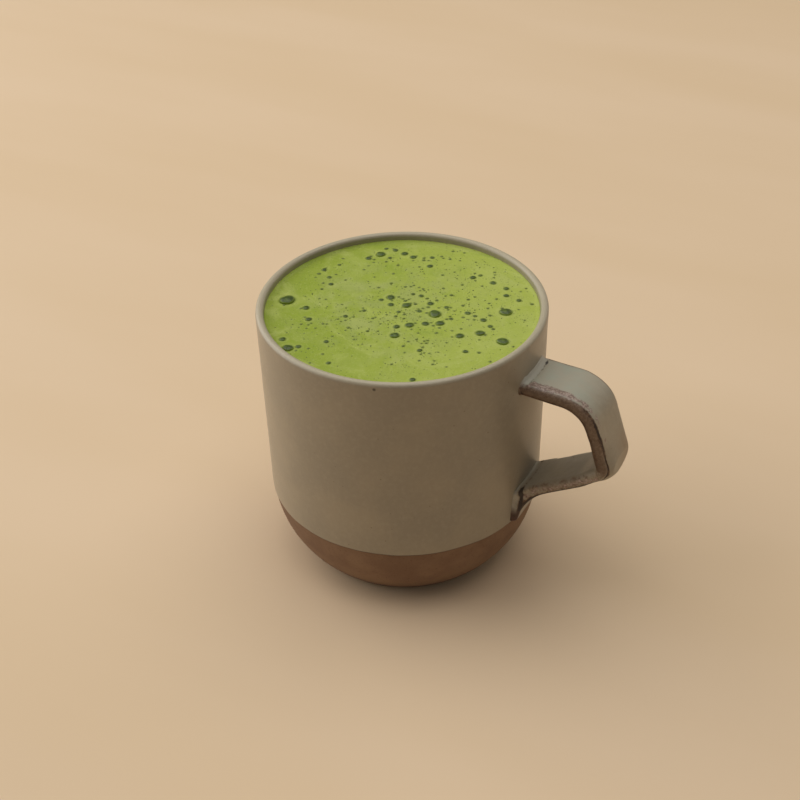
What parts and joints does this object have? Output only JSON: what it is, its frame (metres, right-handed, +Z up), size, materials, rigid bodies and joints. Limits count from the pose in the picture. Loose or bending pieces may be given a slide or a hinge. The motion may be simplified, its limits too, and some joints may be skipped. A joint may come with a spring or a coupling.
{
  "type": "mug of matcha",
  "caption": "Straight-sided ceramic mug with a rounded base and a bent strap handle, full of a green foamed drink.",
  "frame": {"origin": "centre of the foot, on the plane the mug stands on", "axes": "+Z up along the mug's axis, +X towards the handle, +Y across the handle"},
  "size_m": [0.1122, 0.085, 0.0849],
  "materials": {
    "glazed_stoneware": "satin glaze over brown clay, bare clay below the glaze line",
    "matcha": "fine moist foam"
  },
  "bodies": {
    "root": {"mug": "glazed_stoneware", "matcha": "matcha"}
  },
  "joints": []
}
